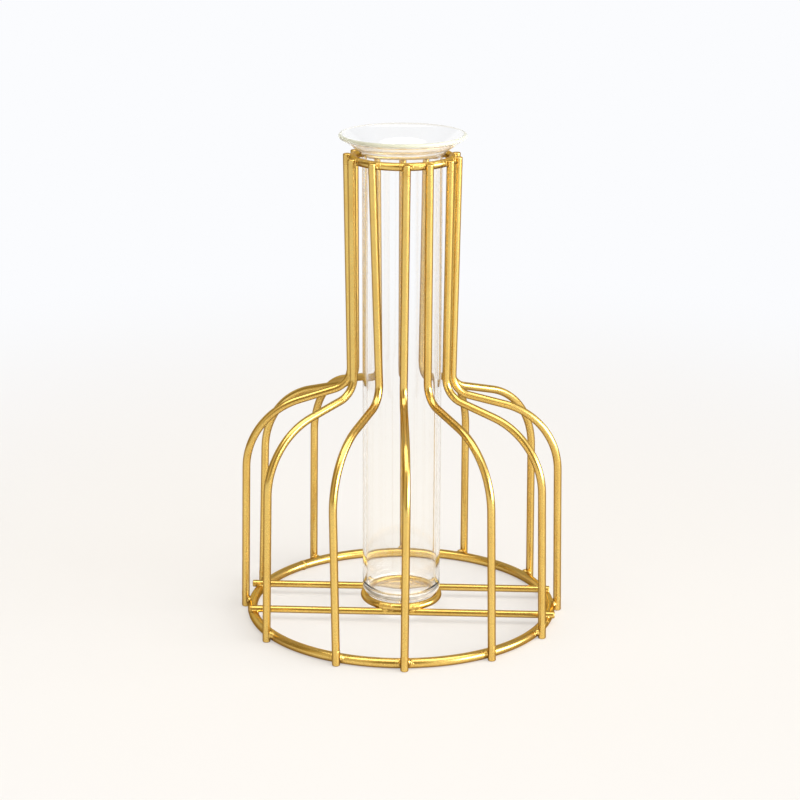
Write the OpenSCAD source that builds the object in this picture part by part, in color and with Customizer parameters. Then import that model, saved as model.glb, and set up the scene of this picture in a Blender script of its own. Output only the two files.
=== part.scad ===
// Hydroponic vase: a glass tube with a flared mouth, held in a bell-shaped cage of bent wires.
// Millimetres. Z is up and the floor is z = 0. The tube's axis is the z axis and the front faces -Y.

/* [Overall] */
// Height from the floor to the glass rim
vase_h = 150; // [135:1:190]
// Width of the cage over its feet
cage_w = 100; // [90:1:130]

/* [Wires] */
// Thickness of the uprights
upright_d = 2.4; // [1.8:0.1:3]
// Thickness of the base ring's wire
base_ring_d = 3; // [2.4:0.1:4]
// Thickness of the neck ring's wire
neck_ring_d = 2.4; // [1.8:0.1:3]
// Thickness of the seat ring's wire
seat_ring_d = 2.4; // [1.8:0.1:3]
// Thickness of the two crossbars
crossbar_d = 2.2; // [1.8:0.1:3]

/* [Bell shape of the uprights] */
// How far the uprights' cut tops lie below the glass rim
rim_stand = 6.4; // [6:0.1:12]
// How far the uprights close in on the tube from the top of the neck to its foot
neck_taper = 1.2; // [0:0.1:1.8]
// Height of the corner where neck and shoulder meet, before it is rounded
neck_foot_h = 72; // [62:1:90]
// How far the shoulder falls from that corner to the outer one
shoulder_drop = 9.1; // [4:0.1:16]
// How far the legs splay from the outer corner down to the floor
leg_splay = 1.2; // [0:0.1:5]
// Radius of the bend at the foot of the neck
neck_bend_r = 7; // [5:0.5:10]
// Radius of the bend at the shoulder
shoulder_bend_r = 22.5; // [15:0.5:24]

/* [Rings and crossbars] */
// Gap between the glass tube and the neck ring
neck_clear = 1.35; // [0.6:0.05:2]
// How far the neck ring's middle lies below the uprights' tops
neck_ring_drop = 0.9; // [0.6:0.1:4]
// How far the seat ring's middle line lies inside the tube's outer wall
seat_inset = 0.6; // [0:0.1:1.2]
// How far each crossbar runs inside the seat ring's middle line
crossbar_inset = 0.75; // [0.4:0.05:1.6]
// How far the crossbars pass the base ring's middle line
crossbar_reach = 1.7; // [1:0.1:2.5]
// How far the front crossbar is slid to the right, and the rear one to the left
crossbar_slide = 0.9; // [0:0.1:1.2]
// Angle by which the pair of crossbars is turned seen from above
crossbar_turn = -2.6; // [-6:0.2:6]
// How deep the uprights are pressed against the neck ring and the base ring at their welds
upright_sink = 0.3; // [0.2:0.05:0.6]
// How deep the crossbars are pressed into the base ring at their welds
crossbar_sink = 0.9; // [0.3:0.1:1.1]
// How flat the seat ring is pressed where it lies on the crossbars
seat_sink = 0.5; // [0.1:0.1:0.8]

/* [Glass tube] */
// Outer diameter of the tube
tube_d = 24; // [20:0.5:28]
// Thickness of the tube's wall
glass_wall = 1.1; // [0.8:0.1:1.6]
// Thickness of the tube's floor
glass_floor = 1.6; // [1:0.1:3]
// Outer radius where the wall turns into the floor
heel_r = 3; // [2.6:0.1:4.5]
// Diameter of the mouth over its lip
rim_w = 38; // [35:0.5:44]
// Outer radius of the curve where the tube opens into the mouth
flare_r = 5.2; // [4:0.1:6]
// Slope of the mouth above the level
flare_slope = 35; // [28:1:42]
// How much thicker the melted lip is than the wall
lip_swell = 0.2; // [0.1:0.1:0.8]
// Gap between the glass and the seat ring that carries it
seat_gap = 0.2; // [0.1:0.05:0.4]

/* [Welds] */
// Diameter of the weld beads at the neck ring
neck_bead_d = 2.5; // [2.4:0.1:3.2]
// Diameter of the weld beads at the feet
foot_bead_d = 3.2; // [2.8:0.1:3.6]
// How far the foot beads sit above the base ring's middle
foot_bead_rise = 0.6; // [0.4:0.1:1]
// Diameter of the weld beads where the crossbars meet the base ring
crossbar_bead_d = 3.8; // [3.4:0.1:4.2]
// Diameter of the weld beads where the seat ring meets the crossbars
seat_bead_d = 2.8; // [2.6:0.1:3.2]
// How far the butt weld of the base ring stands proud of the wire
seam_proud = 0.2; // [0.1:0.05:0.4]
// Width of that butt weld along the wire
seam_w = 0.7; // [0.4:0.1:1.2]
// Direction of that butt weld from the axis, anticlockwise from +X
seam_angle = 134; // [125:1:140]

/* [Hidden] */
$fn = 64;

// The uprights are numbered from the front, anticlockwise seen from above. The cage is welded by hand,
// so each one strays a little from its even place. All three lists are in degrees.
// How far each top end strays along the neck ring
top_stray = [4, -2, -3, -10, -14, 2, 0, 1, 0, -7, -4, -2];
// How far each upright is swung about its own top end
swing = [-2, 6, 4, 14, 21, 2, -1, 8, 2, 14, 14, 7];
// How far each upright leans sideways
lean = [-0.5, 0.5, 0.5, 0, 0.5, 0.5, 0, 0, 1.5, -1.5, -0.5, 1.5];
uprights = len(top_stray);
front_angle = -90;

// Hairline left where one wire is notched for another, and where a collar or bead is hollowed for a wire
notch_gap = 0.01;
// A bend of wire or glass comes out this much thicker on each side than the straight ends, which lap into it
bend_swell = 0.01;
bend_lap = 0.25;
// Spare length of a leg below the floor, which the cut at the floor takes off
foot_spare = 1;

// Heights and radii of the uprights' middle lines
top_h = vase_h - rim_stand;
neck_ring_h = top_h - neck_ring_drop;
neck_ring_r = tube_d / 2 + neck_clear + neck_ring_d / 2;
top_r = neck_ring_r + neck_ring_d / 2 + upright_d / 2 - upright_sink;
foot_r = cage_w / 2 - upright_d / 2;
shoulder_h = neck_foot_h - shoulder_drop;

// Rings and crossbars: middle lines
base_ring_h = base_ring_d / 2;
leg_r_at_ring = foot_r - leg_splay * base_ring_h / shoulder_h;
base_ring_r = leg_r_at_ring - upright_d / 2 - base_ring_d / 2 + upright_sink;
crossbar_h = base_ring_d + crossbar_d / 2 - crossbar_sink;
seat_ring_r = tube_d / 2 - seat_inset;
seat_ring_h = crossbar_h + crossbar_d / 2 + seat_ring_d / 2 - seat_sink;
crossbar_y = seat_ring_r - crossbar_inset;
crossbar_cross_x = sqrt(base_ring_r * base_ring_r - crossbar_y * crossbar_y);
seat_cross_x = sqrt(seat_ring_r * seat_ring_r - crossbar_y * crossbar_y);

// Glass: the heel's curve rests on the seat ring's wire, which sets the height of the tube's floor
tube_r = tube_d / 2;
bore_r = tube_r - glass_wall;
heel_in_r = heel_r - glass_wall;
heel_to_wire = heel_r + seat_ring_d / 2 + seat_gap;
heel_offset = seat_ring_r - (tube_r - heel_r);
tube_base_h = seat_ring_h + sqrt(heel_to_wire * heel_to_wire - heel_offset * heel_offset) - heel_r;
// Glass: the mouth's wall bends away from the tube round a centre outside it, then runs straight to the lip
lip_r = (glass_wall + lip_swell) / 2;
flare_mid_r = flare_r + glass_wall / 2;
flare_centre_x = tube_r + flare_r;
flare_end_x = flare_centre_x - flare_mid_r * sin(flare_slope);
cone_l = (rim_w / 2 - lip_r - flare_end_x) / cos(flare_slope);
flare_centre_h = vase_h - lip_r - cone_l * sin(flare_slope) - flare_mid_r * cos(flare_slope);

// Direction from p to q, and the turn that a path p, q, s makes at q, in degrees
function heading(p, q) = atan2(q[1] - p[1], q[0] - p[0]);
function turn_at(p, q, s) = (heading(q, s) - heading(p, q) + 540) % 360 - 180;
// How far from the corner q a bend of radius r begins
function setback(p, q, s, r) = r * tan(abs(turn_at(p, q, s)) / 2);
function toward(p, q, distance) = p + (q - p) / norm(q - p) * distance;

// Upright i: direction of its top end, how far its foot strays sideways, and how far it reaches outward
function top_angle(i) = front_angle + 360 / uprights * i + top_stray[i];
function foot_side(i) = top_h * sin(lean[i]);
function foot_reach(i) = sqrt(pow(foot_r, 2) - pow(top_r * sin(swing[i]), 2) - pow(foot_side(i), 2)
    + 2 * top_r * foot_side(i) * sin(swing[i])) - top_r * cos(swing[i]);
// The uprights reach as far as the ring needs, so that every foot stands on the same circle
function foot_angle(i) = top_angle(i) + atan2(
    foot_reach(i) * sin(swing[i]) + foot_side(i) * cos(swing[i]),
    top_r + foot_reach(i) * cos(swing[i]) - foot_side(i) * sin(swing[i]));
// Middle line of upright i in its own plane: outward from its top end, and up from the floor
function wire_path(i) = [
    [0, top_h],
    [-neck_taper, neck_foot_h],
    [foot_reach(i) - leg_splay, shoulder_h],
    [foot_reach(i), 0]];

// Straight length of wire in the XY plane
module rod(p, q, d) {
    translate([p[0], p[1], 0]) rotate([0, 0, heading(p, q)]) rotate([0, 90, 0])
        cylinder(h = norm(q - p), d = d);
}

// Rounded corner at q of a wire that runs p, q, s
module bend(p, q, s, r, d) {
    turn = turn_at(p, q, s);
    ahead = heading(p, q);
    start = toward(q, p, setback(p, q, s, r));
    centre = start + sign(turn) * r * [-sin(ahead), cos(ahead)];
    first = turn > 0 ? ahead - 90 : ahead + 90 + turn;
    translate([centre[0], centre[1], 0]) rotate([0, 0, first])
        rotate_extrude(angle = abs(turn)) translate([r, 0]) circle(d = d);
}

// Wire of upright i, standing in the XZ plane with its top end on the z axis
module bent_wire(i, d) {
    path = wire_path(i);
    neck_back = setback(path[0], path[1], path[2], neck_bend_r);
    shoulder_back = setback(path[1], path[2], path[3], shoulder_bend_r);
    rotate([90, 0, 0]) {
        rod(path[0], toward(path[1], path[0], neck_back - bend_lap), d);
        bend(path[0], path[1], path[2], neck_bend_r, d + 2 * bend_swell);
        rod(toward(path[1], path[2], neck_back - bend_lap),
            toward(path[2], path[1], shoulder_back - bend_lap), d);
        bend(path[1], path[2], path[3], shoulder_bend_r, d + 2 * bend_swell);
        rod(toward(path[2], path[3], shoulder_back - bend_lap),
            toward(path[3], path[2], -foot_spare), d);
    }
}

// Puts a wire in the place of upright i: leans it, swings it, and carries it out to the neck ring
module in_place(i) {
    rotate([0, 0, top_angle(i)]) translate([top_r, 0, top_h]) rotate([0, 0, swing[i]])
        rotate([lean[i], 0, 0]) translate([0, 0, -top_h]) children();
}

// Everything under the floor, which is cut away
module underfloor() {
    translate([-cage_w, -cage_w, -vase_h]) cube([2 * cage_w, 2 * cage_w, vase_h]);
}

// Ring of round wire about the z axis
module wire_ring(r, h, d) {
    rotate_extrude() translate([r, h]) circle(d = d);
}

// One crossbar: side is -1 at the front and 1 at the rear
module crossbar(side, d) {
    bar_l = 2 * (crossbar_cross_x + crossbar_reach);
    rotate([0, 0, crossbar_turn]) translate([-side * crossbar_slide - bar_l / 2, side * crossbar_y, crossbar_h])
        rotate([0, 90, 0]) cylinder(h = bar_l, d = d);
}

// Each upright is notched where it is pressed against the two rings, and its foot is cut level
module upright(i) {
    color("goldenrod") difference() {
        in_place(i) bent_wire(i, upright_d);
        wire_ring(neck_ring_r, neck_ring_h, neck_ring_d + 2 * notch_gap);
        wire_ring(base_ring_r, base_ring_h, base_ring_d + 2 * notch_gap);
        underfloor();
    }
}

module neck_ring() {
    color("goldenrod") wire_ring(neck_ring_r, neck_ring_h, neck_ring_d);
}

module base_ring() {
    color("goldenrod") wire_ring(base_ring_r, base_ring_h, base_ring_d);
}

// Everything under the level of the crossbars' tops, along one crossbar
module bar_footprint(side) {
    rotate([0, 0, crossbar_turn]) translate([-tube_d, side * crossbar_y - crossbar_d / 2, 0])
        cube([2 * tube_d, crossbar_d, crossbar_h + crossbar_d / 2 + notch_gap]);
}

// The seat ring lies on both crossbars and is pressed flat where it crosses them
module seat_ring() {
    color("goldenrod") difference() {
        wire_ring(seat_ring_r, seat_ring_h, seat_ring_d);
        bar_footprint(-1);
        bar_footprint(1);
    }
}

// The crossbars are notched where they are pressed into the base ring
module crossbar_front() {
    color("goldenrod") difference() {
        crossbar(-1, crossbar_d);
        wire_ring(base_ring_r, base_ring_h, base_ring_d + 2 * notch_gap);
    }
}
module crossbar_rear() {
    color("goldenrod") difference() {
        crossbar(1, crossbar_d);
        wire_ring(base_ring_r, base_ring_h, base_ring_d + 2 * notch_gap);
    }
}

// One bead on each upright, grown through the line where it touches the neck ring
module neck_welds() {
    color("darkgoldenrod") for (i = [0 : uprights - 1])
        rotate([0, 0, top_angle(i)]) translate([neck_ring_r + neck_ring_d / 2, 0, neck_ring_h])
        sphere(d = neck_bead_d);
}

// One bead on each foot, grown through the line where it touches the base ring
module foot_welds() {
    color("darkgoldenrod") for (i = [0 : uprights - 1])
        rotate([0, 0, foot_angle(i)])
        translate([base_ring_r + base_ring_d / 2, 0, base_ring_h + foot_bead_rise])
        sphere(d = foot_bead_d);
}

// One bead at each end of each crossbar, between the bar and the base ring
module crossbar_welds() {
    color("darkgoldenrod") for (side = [-1, 1], end = [-1, 1]) difference() {
        rotate([0, 0, crossbar_turn]) translate([end * crossbar_cross_x, side * crossbar_y, base_ring_d])
            sphere(d = crossbar_bead_d);
        wire_ring(base_ring_r, base_ring_h, base_ring_d + 2 * notch_gap);
        crossbar(side, crossbar_d + 2 * notch_gap);
    }
}

// One bead at each crossing of the seat ring and a crossbar
module seat_welds() {
    color("darkgoldenrod") for (side = [-1, 1], end = [-1, 1])
        rotate([0, 0, crossbar_turn])
        translate([end * seat_cross_x, side * crossbar_y, crossbar_h + crossbar_d / 2])
        sphere(d = seat_bead_d);
}

// Collar of metal that the butt weld of the base ring left round the wire
module ring_seam() {
    color("darkgoldenrod") difference() {
        rotate([0, 0, seam_angle]) translate([base_ring_r, 0, base_ring_h]) rotate([90, 0, 0])
            cylinder(h = seam_w, d = base_ring_d + 2 * seam_proud, center = true);
        wire_ring(base_ring_r, base_ring_h, base_ring_d + 2 * notch_gap);
        underfloor();
    }
}

// Half outline of a cylinder with a rounded heel, from its bottom up to its top
module rounded_outline(r, heel, bottom, top) {
    translate([0, bottom]) square([r - heel, top - bottom]);
    translate([0, bottom + heel]) square([r, top - bottom - heel]);
    translate([r - heel, bottom + heel]) circle(r = heel);
}

// Section of the tube without its mouth, from its floor up to the start of the flare
module tube_section() {
    difference() {
        rounded_outline(tube_r, heel_r, tube_base_h, flare_centre_h + bend_lap);
        rounded_outline(bore_r, heel_in_r, tube_base_h + glass_floor, vase_h);
    }
}

// Section of the mouth: the curve out of the tube, the straight cone and the melted lip
module mouth_section() {
    wedge = 2 * flare_centre_x;
    translate([flare_centre_x, flare_centre_h]) intersection() {
        difference() {
            circle(r = flare_r + glass_wall + bend_swell);
            circle(r = flare_r - bend_swell);
        }
        polygon([[0, 0], [-wedge, 0], [-wedge * sin(flare_slope), wedge * cos(flare_slope)]]);
    }
    translate([flare_end_x, flare_centre_h + flare_mid_r * cos(flare_slope)]) rotate(flare_slope) {
        translate([-bend_lap, -glass_wall / 2]) square([bend_lap + cone_l, glass_wall]);
        translate([cone_l, 0]) circle(r = lip_r);
    }
}

module glass_tube() {
    color([0.84, 0.93, 0.92, 0.4]) rotate_extrude() {
        tube_section();
        mouth_section();
    }
}

for (i = [0 : uprights - 1]) upright(i);
neck_ring();
base_ring();
seat_ring();
crossbar_front();
crossbar_rear();
neck_welds();
foot_welds();
crossbar_welds();
seat_welds();
ring_seam();
glass_tube();
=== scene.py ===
"""Hydroponic vase: a clear glass tube with a flared mouth in a bell-shaped cage of gold wires.

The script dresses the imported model. It makes the bent wires, rings and crossbars as smooth swept
rods, the weld beads as melted lumps of metal, and the glass tube as one turned shell, and it sets
up the floor, the lamps and the camera. All sizes are in metres, in the frame of the model: z is up,
the floor is z = 0, the tube's axis is the z axis, and the front faces -Y.
"""

import math

import bmesh
import bpy
from mathutils import Matrix, Vector


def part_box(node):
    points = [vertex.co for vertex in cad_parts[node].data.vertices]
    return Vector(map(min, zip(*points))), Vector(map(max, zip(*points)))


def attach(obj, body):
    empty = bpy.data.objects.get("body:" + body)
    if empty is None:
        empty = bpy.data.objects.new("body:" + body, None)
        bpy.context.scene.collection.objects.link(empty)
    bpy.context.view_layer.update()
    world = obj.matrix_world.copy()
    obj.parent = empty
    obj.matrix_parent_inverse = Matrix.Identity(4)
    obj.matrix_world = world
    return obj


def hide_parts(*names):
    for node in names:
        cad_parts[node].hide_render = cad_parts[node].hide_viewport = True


bl_info = {
    "name": "Hydroponic Vase",
    "version": (1, 0, 0),
    "blender": (4, 5, 0),
    "location": "View3D > Sidebar > Vase",
    "description": "Makes the wires, weld beads and glass tube of a hydroponic vase",
    "category": "Object",
}

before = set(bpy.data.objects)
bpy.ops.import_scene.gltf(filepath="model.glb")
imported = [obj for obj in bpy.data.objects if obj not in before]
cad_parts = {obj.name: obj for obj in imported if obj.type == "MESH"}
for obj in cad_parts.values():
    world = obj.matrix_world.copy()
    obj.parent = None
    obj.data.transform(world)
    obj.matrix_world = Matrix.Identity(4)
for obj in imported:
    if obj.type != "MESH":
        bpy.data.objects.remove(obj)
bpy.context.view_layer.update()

MM = 0.001


def node_height(node):
    """How tall a node of the model is."""
    low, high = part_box(node)
    return high.z - low.z


# -------- values worked out with nodes


class Value:
    """A socket that can be calculated with: each operator adds the node that does it."""

    def __init__(self, graph, socket):
        self.graph = graph
        self.socket = socket

    def __getitem__(self, name):
        """Another output of the same node."""
        return Value(self.graph, self.socket.node.outputs[name])

    def math(self, operation, *others):
        """Adds one Math node that works on this value and the others."""
        return self.graph.node("ShaderNodeMath", {"operation": operation}, *[self, *others])

    def __add__(self, other):
        return self.math("ADD", other)

    def __sub__(self, other):
        return self.math("SUBTRACT", other)

    def __mul__(self, other):
        return self.math("MULTIPLY", other)

    def __truediv__(self, other):
        return self.math("DIVIDE", other)

    def __rsub__(self, other):
        return self.graph.node("ShaderNodeMath", {"operation": "SUBTRACT"}, other, self)

    __radd__ = __add__
    __rmul__ = __mul__

    def between(self, low, high):
        """0 at low, 1 at high, and a smooth step between them. High may lie below low."""
        settings = {"interpolation_type": "SMOOTHSTEP"}
        return self.graph.node("ShaderNodeMapRange", settings, self, low, high, 0.0, 1.0)


class Graph:
    """A node tree that nodes are added to, for a material, the world or a modifier."""

    def __init__(self, tree):
        self.tree = tree

    def node(self, kind, settings=None, *inputs, **named):
        """Adds a node of that kind, sets it, feeds its inputs, and returns its first output."""
        made = self.add(kind, settings, *inputs, **named)
        return Value(self, next(s for s in made.outputs if s.enabled))

    def add(self, kind, settings=None, *inputs, **named):
        """Adds a node and returns it. Inputs go to its sockets in order, or by name."""
        made = self.tree.nodes.new(kind)
        for key, value in (settings or {}).items():
            setattr(made, key, value)
        for socket, value in zip([s for s in made.inputs if s.enabled], inputs):
            self.feed(socket, value)
        for name, value in named.items():
            wanted = name.replace("_", " ").lower()
            socket = next(s for s in made.inputs if s.enabled and s.name.lower() == wanted)
            self.feed(socket, value)
        return made

    def feed(self, socket, value):
        """Links a value to a socket, or sets the socket to a plain number, colour or vector."""
        if isinstance(value, Value):
            self.tree.links.new(value.socket, socket)
        elif value is not None:
            if socket.type == "RGBA" and len(value) == 3:
                value = (*value, 1.0)
            socket.default_value = value

    def mix(self, part, first, second):
        """Mixes two colours: the first, with that part of the second."""
        return self.node("ShaderNodeMix", {"data_type": "RGBA"}, part, first, second)

    def noise(self, place, scale, detail=3.0, roughness=0.5):
        """Noise of about that many lumps a metre."""
        return self.node(
            "ShaderNodeTexNoise", {}, Vector=place, Scale=scale, Detail=detail, Roughness=roughness)


def new_material(name):
    """An empty material with its graph."""
    material = bpy.data.materials.new(name)
    material.use_nodes = True
    material.node_tree.nodes.clear()
    return material, Graph(material.node_tree)


def finish_material(graph, part, first, second):
    """Ends a material: the first shader, with that part of the second."""
    mixed = graph.node("ShaderNodeMixShader", {}, part, first, second)
    graph.add("ShaderNodeOutputMaterial", {}, Surface=mixed)


def object_place(graph):
    """The place on the piece, in the frame's metres."""
    return graph.node("ShaderNodeTexCoord")["Object"]


# -------- sizes and colours


def share(name, description, default, low=0.0, high=1.0, **settings):
    """A number that the panel shows."""
    return bpy.props.FloatProperty(
        name=name, description=description, default=default, min=low, max=high, **settings)


def length(name, description, default, low=0.00001):
    """A size in metres that the panel shows."""
    return share(name, description, default, low, 1.0,
                 subtype="DISTANCE", unit="LENGTH", precision=5)


def colour(name, description, default):
    """A colour that the panel shows."""
    return bpy.props.FloatVectorProperty(
        name=name, description=description, default=default, size=3, min=0.0, max=1.0,
        subtype="COLOR")


class CageSizes(bpy.types.PropertyGroup):
    """Sizes of the wires and of the bell that they are bent to"""

    upright_d: length("Upright wire", "Thickness of the twelve uprights", 2.4 * MM)
    base_ring_d: length("Base ring wire", "Thickness of the base ring", node_height("base_ring"))
    neck_ring_d: length("Neck ring wire", "Thickness of the neck ring", node_height("neck_ring"))
    seat_ring_d: length("Seat ring wire", "Thickness of the seat ring", node_height("seat_ring"))
    crossbar_d: length("Crossbar wire", "Thickness of the crossbars", node_height("crossbar_front"))
    cut_round: length("Rounded cut", "How far a cut wire end is rounded", 0.35 * MM)
    top_h: length("Upright height", "Height of the uprights' cut tops", 143.6 * MM)
    foot_r: length("Foot radius", "Distance of the uprights' feet from the axis", 48.8 * MM)
    neck_taper: length("Neck taper", "How far the uprights close in down the neck", 1.2 * MM)
    neck_foot_h: length("Neck foot height", "Height of the corner under the neck", 72.0 * MM)
    shoulder_h: length("Shoulder height", "Height of the outer corner of the shoulder", 62.9 * MM)
    leg_splay: length("Leg splay", "How far the legs splay below the shoulder", 1.2 * MM)
    neck_bend_r: length("Neck bend", "Radius of the bend at the foot of the neck", 7.0 * MM)
    shoulder_bend_r: length("Shoulder bend", "Radius of the bend at the shoulder", 22.5 * MM)
    upright_sink: length("Upright sink", "How deep the uprights sink in the rings", 0.3 * MM)
    bar_sink: length("Crossbar sink", "How deep the crossbars sink in the ring", 0.9 * MM)
    seat_sink: length("Seat sink", "How deep the seat ring sinks in the crossbars", 0.5 * MM)


class WeldSizes(bpy.types.PropertyGroup):
    """Sizes of the lumps of metal that join the wires"""

    neck_bead_d: length("Neck bead", "Size of the beads at the neck ring", 1.7 * MM)
    foot_bead_d: length("Foot bead", "Size of the beads at the feet", 2.3 * MM)
    bar_bead_d: length("Crossbar bead", "Size of the beads under the crossbars' ends", 2.5 * MM)
    seat_bead_d: length("Seat bead", "Size of the beads under the seat ring", 1.8 * MM)
    seam_w: length("Seam width", "Width of the butt weld in the base ring", 0.9 * MM)
    seam_proud: length("Seam height", "How far that butt weld stands proud of the wire", 0.17 * MM)
    seam_sink: length("Seam sink", "How far that weld's edges lie below the wire's skin", 0.03 * MM)
    grain: length("Grain", "Size of the voxels of the beads", 0.13 * MM, 0.00005)
    spread: share("Spread", "By how much the beads of one kind differ in size", 0.0)


class GlassSizes(bpy.types.PropertyGroup):
    """Sizes of the blown glass tube"""

    wall: length("Wall", "Thickness of the tube's wall", 1.1 * MM)
    floor: length("Floor", "Thickness of the tube's floor", 1.6 * MM)
    heel_r: length("Heel", "Outer radius where the wall turns into the floor", 3.0 * MM)
    tube_d: length("Tube width", "Outer diameter of the tube", 24.0 * MM)
    flare_r: length("Flare", "Outer radius of the curve into the mouth", 5.2 * MM)
    flare_slope: share("Mouth slope", "Slope of the mouth above the level", math.radians(35.0),
                       subtype="ANGLE")
    lip_swell: length("Lip swell", "How much thicker the melted lip is than the wall", 0.2 * MM)
    heel_fill: length("Heel fill", "How much the glass thickens in the heel", 1.3 * MM)
    lip_run: length("Lip run", "Length over which the wall swells into the lip", 1.6 * MM)
    dimple: length("Dimple", "How far the middle of the floor is pushed up from below", 0.35 * MM)


class Finishes(bpy.types.PropertyGroup):
    """Colours of the gold coating and of the glass"""

    gold: colour("Gold", "Colour of the satin gold coating", (0.83, 0.585, 0.172))
    gold_deep: colour("Deep gold", "Colour where the coating lies thick", (0.70, 0.43, 0.10))
    # Painted shade: the dark gold that is mixed in where the wires turn away from the view, least
    # on their tops
    gold_painted_edge_shade: colour("Gold rim", "Colour of the flakes seen nearly edge on", (0.39, 0.235, 0.07))
    gold_edge: colour("Gold edge", "Tint of reflections at a glancing angle", (0.55, 0.42, 0.28))
    gold_rough: share("Gold roughness", "Blur of the flakes that lie flat", 0.16)
    askew_rough: share("Askew roughness", "Blur of the flakes that lie askew", 0.44)
    rim_rough: share("Rim roughness", "Blur of the flakes seen edge on", 0.28)
    gold_satin: share("Gold satin", "Share of the flakes that lie askew", 0.24)
    glass: colour("Glass", "Tint of the clear glass", (0.997, 0.998, 0.995))
    # Painted light: pale colours that stand in for the light gathered in the thick glass of the
    # heel and the lip
    heel: colour("Heel", "Colour of the light in the heel", (0.94, 0.89, 0.82))
    lip: colour("Lip", "Colour of the light in the lip", (0.86, 0.90, 0.74))


class StageSettings(bpy.types.PropertyGroup):
    """Floor, lamps and camera"""

    floor_colour: colour("Floor", "Colour of the floor", (0.80, 0.785, 0.77))
    shadow: share("Shadow", "How much of the vase's shadow the floor keeps", 0.5)
    softbox: share("Softbox", "Power of the overhead softbox in watts", 4.35, 0.0, 100.0)
    tent: share("Tent", "Brightness of the dim warm tent", 0.26, 0.0, 4.0)
    right_box: share("Right box", "Brightness of the softbox on the right", 0.7, 0.0, 4.0)
    left_box: share("Left box", "Brightness of the softbox on the left", 0.45, 0.0, 4.0)
    strip: share("Strip", "Brightness of the low strip light on the right", 12.0, 0.0, 40.0)
    wall: share("Wall", "Brightness of the wall at the back, high up", 0.5, 0.0, 4.0)
    lens: share("Lens", "Focal length of the camera in millimetres", 100.31, 10.0, 300.0)


def sizes(context):
    """The property groups of the scene."""
    return context.scene.vase


# -------- shapes from node trees


def new_modifier_tree(name, inputs):
    """A Geometry Nodes tree with those named inputs. Returns its graph, inputs and output node."""
    tree = bpy.data.node_groups.new(name, "GeometryNodeTree")
    tree.interface.new_socket("Geometry", in_out="INPUT", socket_type="NodeSocketGeometry")
    for label, kind, default in inputs:
        socket = tree.interface.new_socket(label, in_out="INPUT", socket_type=kind)
        if default is not None:
            socket.default_value = default
    tree.interface.new_socket("Geometry", in_out="OUTPUT", socket_type="NodeSocketGeometry")
    graph = Graph(tree)
    given = tree.nodes.new("NodeGroupInput")
    result = tree.nodes.new("NodeGroupOutput")
    values = {s.name: Value(graph, s) for s in given.outputs if s.name}
    return graph, values, result


def finish_tree(graph, values, result, geometry):
    """Ends a tree: smooth shading, real geometry and its material."""
    smooth = graph.node("GeometryNodeSetShadeSmooth", {}, geometry)
    real = graph.node("GeometryNodeRealizeInstances", {}, smooth)
    done = graph.node("GeometryNodeSetMaterial", {}, real, Material=values["Material"])
    graph.tree.links.new(done.socket, result.inputs[0])
    return graph.tree


def wire_tree():
    """Tree that bends a chain of corners into a round wire with softly rounded cut ends."""
    graph, values, result = new_modifier_tree("Bent wire", [
        ("Thickness", "NodeSocketFloat", 0.0024),
        ("Cut rounding", "NodeSocketFloat", 0.0003),
        ("Steps in a bend", "NodeSocketInt", 24),
        ("Sides", "NodeSocketInt", 40),
        ("Material", "NodeSocketMaterial", None),
    ])
    chain = graph.node("GeometryNodeMeshToCurve", {}, values["Geometry"])
    bend_r = graph.node("GeometryNodeInputNamedAttribute", {"data_type": "FLOAT"}, "bend_r")
    bent = graph.node("GeometryNodeFilletCurve", {"mode": "POLY"}, chain,
                      Count=values["Steps in a bend"], Radius=bend_r)
    start = graph.node("GeometryNodeSplineParameter")["Length"]
    whole = graph.node("GeometryNodeSplineLength")["Length"]
    nearest = start.math("MINIMUM", whole - start)
    rounding = values["Cut rounding"]
    missing = rounding - nearest.math("MINIMUM", rounding)
    drop = rounding - (rounding * rounding - missing * missing).math("MAXIMUM", 0.0).math("SQRT")
    radius = values["Thickness"] / 2.0
    profile = graph.node("GeometryNodeCurvePrimitiveCircle", {"mode": "RADIUS"},
                         Resolution=values["Sides"], Radius=1.0)
    rod = graph.node("GeometryNodeCurveToMesh", {}, bent, profile,
                     Scale=radius - drop, Fill_Caps=True)
    return finish_tree(graph, values, result, rod)


def ring_tree():
    """Tree that makes a closed ring of round wire about the z axis."""
    graph, values, result = new_modifier_tree("Wire ring", [
        ("Radius", "NodeSocketFloat", 0.05),
        ("Height", "NodeSocketFloat", 0.0015),
        ("Thickness", "NodeSocketFloat", 0.003),
        ("Steps round", "NodeSocketInt", 288),
        ("Sides", "NodeSocketInt", 40),
        ("Material", "NodeSocketMaterial", None),
    ])
    circle = graph.node("GeometryNodeCurvePrimitiveCircle", {"mode": "RADIUS"},
                        Resolution=values["Steps round"], Radius=values["Radius"])
    offset = graph.node("ShaderNodeCombineXYZ", {}, 0.0, 0.0, values["Height"])
    lifted = graph.node("GeometryNodeTransform", {}, circle, Translation=offset)
    profile = graph.node("GeometryNodeCurvePrimitiveCircle", {"mode": "RADIUS"},
                         Resolution=values["Sides"], Radius=values["Thickness"] / 2.0)
    ring = graph.node("GeometryNodeCurveToMesh", {}, lifted, profile)
    return finish_tree(graph, values, result, ring)


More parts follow.
